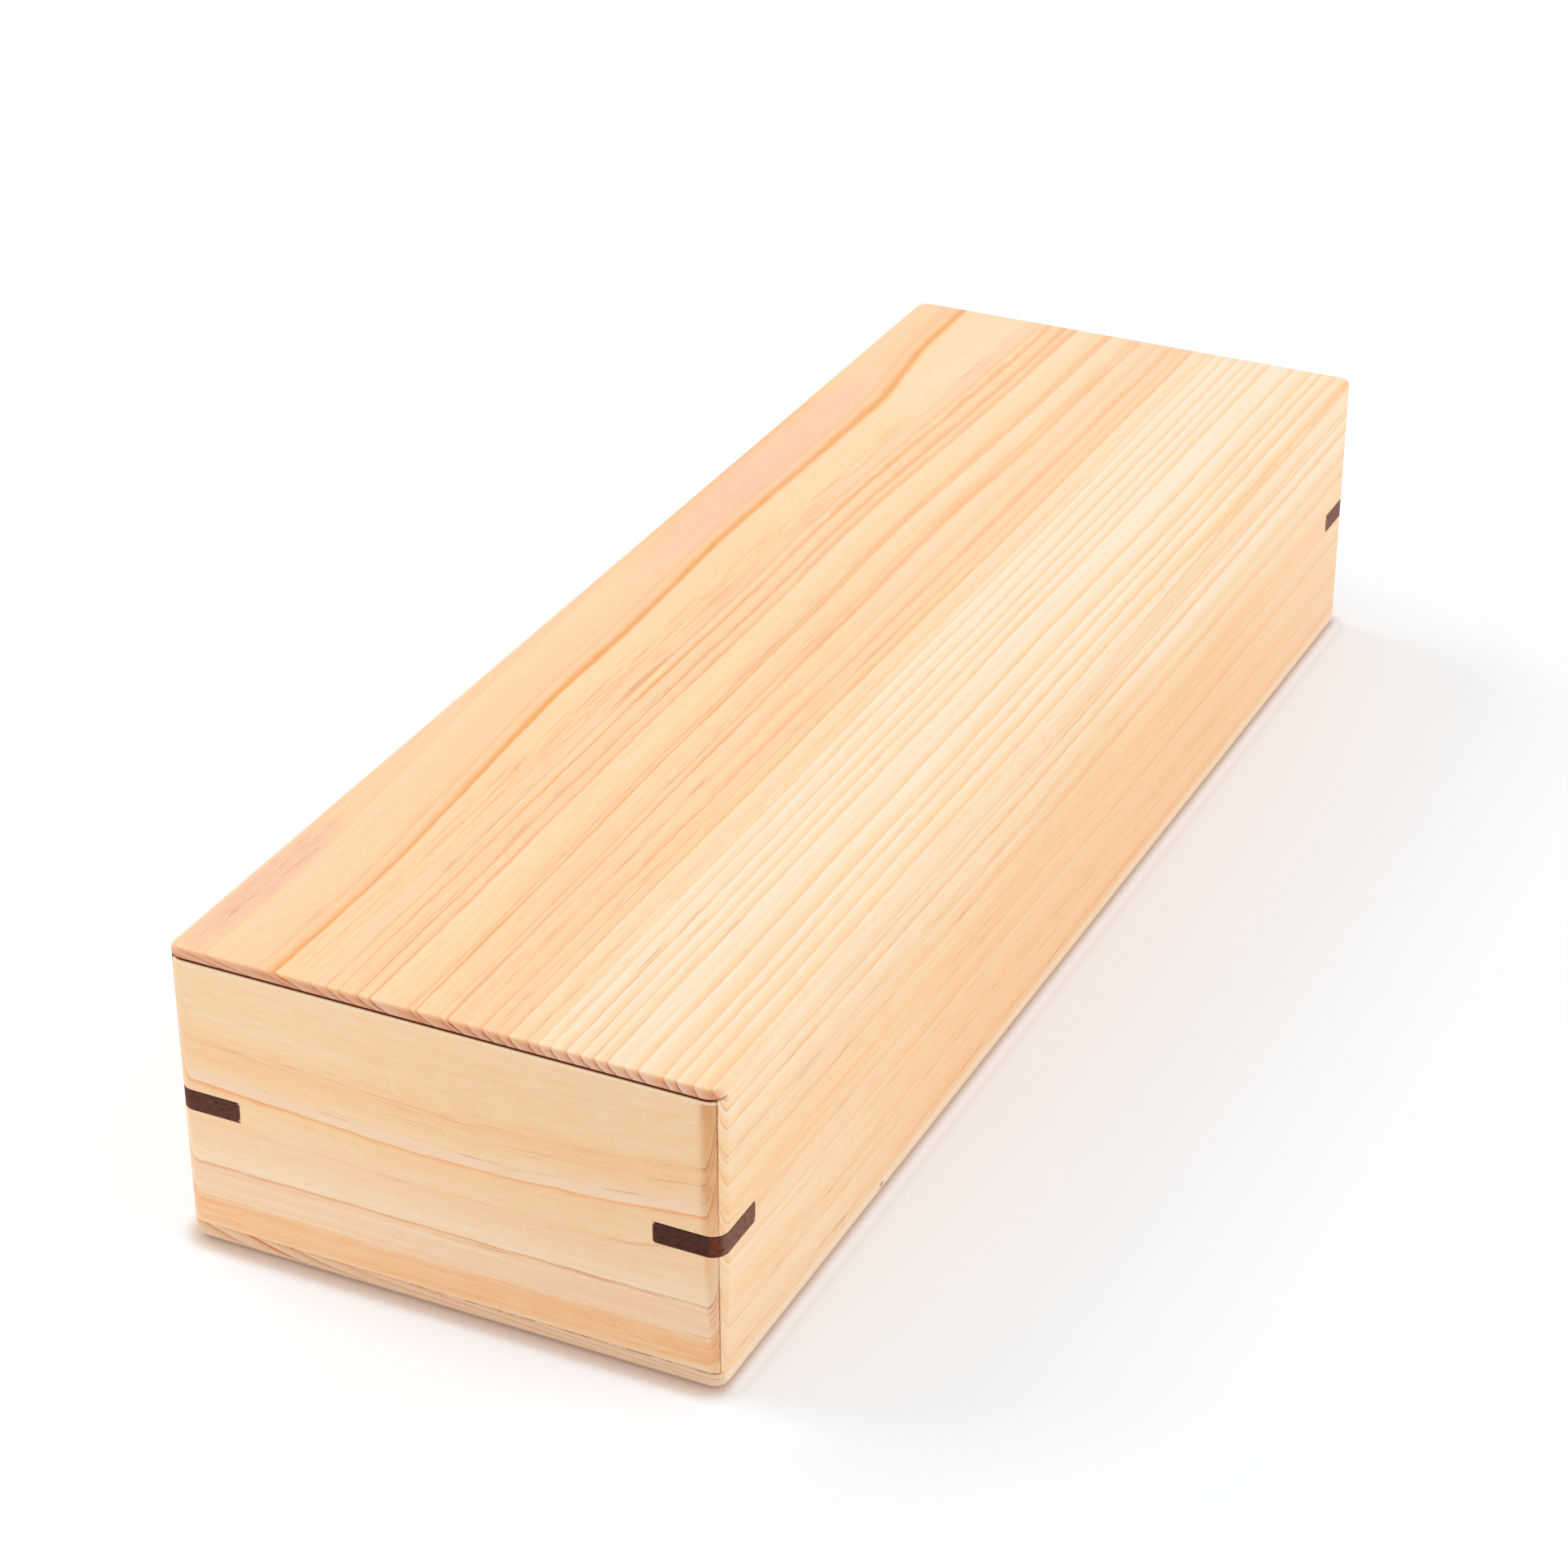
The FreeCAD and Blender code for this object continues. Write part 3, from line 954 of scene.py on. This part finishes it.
class RightBoard(Wall):
    name = "right softwood"
    rings = RIGHT_RINGS
    across, along, depth = "-Z", "+Y", "-X"
    seed = 11.0
    length = BOX_LENGTH
    softest = 1.9
    low_end = 0.35
    high_end = 0.2

    def drift(self, spot):
        """The rings sink a little towards the rear, except beside the base."""
        sink = spot.t.curve(((0, 0), (50, -0.7), (100, -1.6), (200, -2.6), (300, -3)))
        return sink * spot.u.ease(52, 45)

    def slope(self, spot):
        return spot.u.curve(((0, -4.6), (57, -5.6)))

    def deepen(self, spot, fibre):
        """Paler at the near end, deeper in the middle and paler again high at the rear."""
        near = spot.t.ease(90, 30) * spot.z.ease(30, 20) * -0.08
        near_top = spot.t.ease(80, 5) * spot.z.ease(46, 55) * -0.14
        middle = spot.t.ease(30, 110) * spot.z.ease(46, 36, -0.04, 0.13)
        high = spot.z.curve(((30, 0), (38, -0.14), (48, -0.16), (54, -0.03)))
        rear = spot.t.ease(130, 210) * high
        end = spot.t.ease(210, 270) * spot.z.ease(44, 30) * -0.13
        top = spot.t.beside(175, 75, 20) * spot.z.ease(50, 53) * 0.13
        return near + near_top + middle + rear + end + top

    def marks(self, spot, colour):
        """The joint over the front wall runs on round the corner a little and dies away."""
        colour = super().marks(spot, colour)
        run_on = spot.u.ease(2.2, 2) * spot.t.ease(3.2, 1.6) * 0.4
        return spot.tree.blend(run_on, colour, paint("mitre"))


class LeftBoard(RightBoard):
    name = "left softwood"
    rings = LEFT_RINGS
    depth = "+X"
    seed = 23.0


class BaseBoard(Board):
    name = "base softwood"
    rings = BASE_RINGS
    across, along, depth = "+X", "+Y", "-Z"
    seed = 61.0
    low_end = 0.25
    high_end = 0.25
    wider_lines = 1.6
    edge_colour = "arris"

    def cut_from(self, spot):
        return 0.4

    def deepen(self, spot, fibre):
        """Paler on the long sides towards the near end."""
        return abs(spot.normal[0]).ease(0.5, 0.9) * spot.t.ease(110, 20, -0.1, -0.3)

    def slope(self, spot):
        return spot.u.curve(((0, 3), (10, 3.3), (22, 4.4), (34, 6.7), (50, 12), (100, 22)))

    def marks(self, spot, colour):
        """The joint under the walls, dark where the glue has drawn back, one dark speck, and a
        painted highlight along the lower edge.
        """
        tree = spot.tree
        top = BASE_TOP * PER_METRE
        broken = tree.noise((spot.x * 0.45, spot.y * 0.45, 2), 3, 0.7)
        on_front = spot.normal[1].ease(-0.3, -0.8) * spot.x.ease(-30, 30, 0.3, 1)
        seam = (
            spot.z.ease(top - 0.4, top - 0.15) * broken.ease(0.45, 0.6, 0.1, 0.6)
            * on_front.at_least(0.15))
        # Painted highlight: the downward rounding of the lower edge turns paler, as if lit from the
        # floor.
        painted_lower_highlight = spot.up.ease(-0.03, -0.4, 0, 0.55)
        colour = tree.blend(painted_lower_highlight, colour, paint("sap"))
        speck = patch(spot.t, spot.z, (60.5, 2.4), (0.9, 0.6))
        speck = speck * spot.normal[0].ease(0.3, 0.6) * 0.6
        colour = tree.blend(speck, colour, paint("mitre"))
        return tree.blend(seam, colour, paint("seam"))


BOARDS = {
    "lid_board": LidBoard,
    "lid_end_strip": EndStrip,
    "front_end_board": FrontBoard,
    "rear_end_board": RearBoard,
    "right_side_board": RightBoard,
    "left_side_board": LeftBoard,
    "base_board": BaseBoard,
}


def put_on(node, material):
    """Gives a CAD node one material in all of its slots."""
    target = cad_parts[node]
    if not target.material_slots:
        target.data.materials.append(material)
    for slot in target.material_slots:
        slot.material = material


# ---- operators


class BoardsOperator:
    """Finishes the boards that it names."""

    def execute(self, context):
        for node in self.boards:
            put_on(node, BOARDS[node]().material(node))
        return {"FINISHED"}


class BOX_OT_effects(bpy.types.Operator):
    """Make the shader groups that the boards share"""

    bl_idname = "box.effects"
    bl_label = "Shared Effects"

    def execute(self, context):
        for name, (build, inputs) in GROUPS.items():
            make_group(name, build, inputs)
        return {"FINISHED"}


class BOX_OT_lid(BoardsOperator, bpy.types.Operator):
    """Finish the lid board and the strip under its rear edge"""

    bl_idname = "box.lid"
    bl_label = "Lid"
    boards = ("lid_board", "lid_end_strip")


class BOX_OT_walls(BoardsOperator, bpy.types.Operator):
    """Finish the four walls"""

    bl_idname = "box.walls"
    bl_label = "Walls"
    boards = ("front_end_board", "rear_end_board", "right_side_board", "left_side_board")


class BOX_OT_base(BoardsOperator, bpy.types.Operator):
    """Finish the base board"""

    bl_idname = "box.base"
    bl_label = "Base Board"
    boards = ("base_board",)


class BOX_OT_keys(bpy.types.Operator):
    """Finish the four walnut keys"""

    bl_idname = "box.keys"
    bl_label = "Corner Keys"

    def execute(self, context):
        look = settings("walnut")
        material, tree = new_material("walnut")
        place = tree.values("ShaderNodeTexCoord", {})
        x, y, z = (axis * PER_METRE for axis in place["Object"].split())
        to_side = abs(place["Normal"].split()[0])
        colour = tree.blend(x.ease(-10, 10), paint("paler", "walnut"), paint("heart", "walnut"))
        colour = tree.blend(to_side.ease(0.05, 0.45), colour, paint("corner", "walnut"))
        # Painted sheen: faces that look to the long walls are lighter.
        colour = tree.blend(to_side.ease(0.7, 0.98), colour, paint("side", "walnut"))
        grain = tree.noise((x * 0.9, y * 0.9, z * 1.8), 4, 0.75)
        pores = tree.filtered(colour, paint("pores", "walnut"))
        colour = tree.blend(grain.ease(0.42, 0.68), colour, pores)
        top = KEY_HIGH.z * PER_METRE
        # Painted shadow along the upper edge of the key.
        colour = tree.blend(z.ease(top - 0.45, top - 0.1) * 0.6, colour, KEY_SHADOW)
        from_tip = abs(x) + abs(y) - KEY_TIP
        chipped = tree.noise((x, y, z * 1.1), 1)
        half_key = (KEY_HIGH.z - KEY_LOW.z) / 2 * PER_METRE
        from_middle = abs(z - (top - half_key))
        chips = (
            from_tip.ease(0.45, 0.2) * chipped.ease(0.42, 0.5)
            * from_middle.ease(half_key * 0.4, half_key * 0.7))
        colour = tree.blend(chips, colour, paint("chips", "walnut"))
        finish_material(
            tree, colour, look.roughness, grain, bump_distance=0.02 * MILLIMETRE, gloss=0.12)
        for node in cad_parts:
            if node.startswith("key_"):
                put_on(node, material)
        return {"FINISHED"}


# Each lamp: its name, its power's setting, how wide it is and where it stands, in metres.
LAMPS = (
    ("key lamp", "key_lamp", 1.6, (-1.4, 0.0, 1.1)),
    ("fill lamp", "fill_lamp", 1.0, (1.4, 0.3, 0.6)),
    ("front lamp", "front_lamp", 1.0, (-0.3, -2.0, 0.3)),
)


def place_object(name, data):
    """New object in the scene."""
    placed = bpy.data.objects.new(name, data)
    bpy.context.scene.collection.objects.link(placed)
    return placed


class BOX_OT_stage(bpy.types.Operator):
    """Set up the camera, the even light, the three lamps and the white floor"""

    bl_idname = "box.stage"
    bl_label = "Studio"

    def execute(self, context):
        look = settings("stage")
        self.make_camera(look)
        self.make_world(look)
        self.make_lamps(look)
        self.make_floor(look)
        context.scene.view_settings.view_transform = "Standard"
        return {"FINISHED"}

    def make_camera(self, look):
        data = bpy.data.cameras.new("camera")
        data.lens = look.lens
        data.sensor_width = SENSOR_WIDTH
        data.clip_start = 10 * MILLIMETRE
        camera = place_object("camera", data)
        turn = (
            Matrix.Rotation(look.azimuth, 4, "Z")
            @ Matrix.Rotation(math.radians(90) - look.elevation, 4, "X")
            @ Matrix.Rotation(look.roll, 4, "Z"))
        backwards = turn @ Vector((0, 0, look.distance))
        camera.matrix_world = Matrix.Translation(Vector(look.aim) + backwards) @ turn
        bpy.context.scene.camera = camera

    def make_world(self, look):
        """Even light, which the camera and mirror-like surfaces see as plain white."""
        world = bpy.data.worlds.new("white room")
        world.use_nodes = True
        world.node_tree.nodes.clear()
        tree = Tree(world.node_tree)
        path = tree.values("ShaderNodeLightPath", {})
        seen = path["Is Camera Ray"] + path["Is Glossy Ray"] + path["Is Transmission Ray"]
        strength = seen.ease(0, 1, look.sky, 1)
        background = tree.value(
            "ShaderNodeBackground", {"Color": (1, 1, 1, 1), "Strength": strength})
        tree.node("ShaderNodeOutputWorld", {"Surface": background})
        bpy.context.scene.world = world

    def make_lamps(self, look):
        """Round soft lamps that shine on the box."""
        for name, power, width, place in LAMPS:
            data = bpy.data.lights.new(name, "AREA")
            data.shape = "DISK"
            data.size = width
            data.energy = getattr(look, power)
            lamp = place_object(name, data)
            lamp.location = place
            lamp.rotation_euler = Vector(place).to_track_quat("Z", "Y").to_euler()

    def make_floor(self, look):
        """White floor, with a painted soft warm shadow and a painted faint glow close to the box.
        """
        mesh = bpy.data.meshes.new("floor")
        form = bmesh.new()
        bmesh.ops.create_circle(form, cap_ends=True, segments=96, radius=look.floor_radius)
        form.to_mesh(mesh)
        form.free()
        floor = place_object("floor", mesh)
        material, tree = new_material("white floor")
        near, around = (
            tree.value("ShaderNodeAmbientOcclusion", {"Distance": reach}, "AO", samples=8)
            for reach in (4 * MILLIMETRE, 30 * MILLIMETRE))
        across, ahead = tree.value("ShaderNodeTexCoord", {}, "Object").split()[:2]
        on_right = across.ease(BOX_HIGH.x - MILLIMETRE, BOX_HIGH.x + 2 * MILLIMETRE)
        in_front = ahead.ease(BOX_LOW.y + MILLIMETRE, BOX_LOW.y - 3 * MILLIMETRE)
        # Painted warm shadow close to the box, from the ambient occlusion, weaker to the right of
        # the box.
        open_floor = near.ease(0.6, 1).at_least(on_right * 0.75)
        colour = tree.blend(open_floor, FLOOR_PAINTED_SHADOW, FLOOR)
        diffuse = tree.value("ShaderNodeBsdfDiffuse", {"Color": colour})
        # Painted light: more glow close to the right of the box and in front of it, lightening the
        # shade there.
        beside = on_right * near.ease(0.85, 0.55) * 0.36
        before = in_front * near.ease(0.75, 1) * around.ease(1, 0.8) * 0.09
        camera_ray = tree.value("ShaderNodeLightPath", {}, "Is Camera Ray")
        glow = camera_ray * (beside + before + 0.10)
        emission = tree.value("ShaderNodeEmission", {"Color": FLOOR_GLOW, "Strength": glow})
        both = tree.value("ShaderNodeAddShader", {0: diffuse, 1: emission})
        tree.node("ShaderNodeOutputMaterial", {"Surface": both})
        mesh.materials.append(material)
        floor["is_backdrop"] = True


class BOX_PT_panel(bpy.types.Panel):
    """Sidebar panel with the settings and one button for each part of the work"""

    bl_idname = "BOX_PT_panel"
    bl_label = "Sliding-Lid Box"
    bl_space_type = "VIEW_3D"
    bl_region_type = "UI"
    bl_category = "Box"

    def draw(self, context):
        for kind in SETTINGS:
            group = settings(kind)
            column = self.layout.column()
            for name in group.__annotations__:
                column.prop(group, name)
        for operator in OPERATORS:
            self.layout.operator(operator.bl_idname)


SETTINGS = {"softwood": SoftwoodSettings, "walnut": WalnutSettings, "stage": StageSettings}
OPERATORS = (BOX_OT_effects, BOX_OT_lid, BOX_OT_walls, BOX_OT_base, BOX_OT_keys, BOX_OT_stage)


def register():
    for group in SETTINGS.values():
        bpy.utils.register_class(group)
    for kind, group in SETTINGS.items():
        setattr(bpy.types.Scene, kind, bpy.props.PointerProperty(type=group))
    for operator in OPERATORS:
        bpy.utils.register_class(operator)
    bpy.utils.register_class(BOX_PT_panel)


def unregister():
    bpy.utils.unregister_class(BOX_PT_panel)
    for operator in reversed(OPERATORS):
        bpy.utils.unregister_class(operator)
    for kind, group in SETTINGS.items():
        delattr(bpy.types.Scene, kind)
        bpy.utils.unregister_class(group)


def main():
    register()
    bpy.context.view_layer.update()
    bpy.ops.box.stage()
    bpy.ops.box.effects()
    bpy.ops.box.lid()
    bpy.ops.box.walls()
    bpy.ops.box.base()
    bpy.ops.box.keys()


if __name__ == "__main__":
    main()
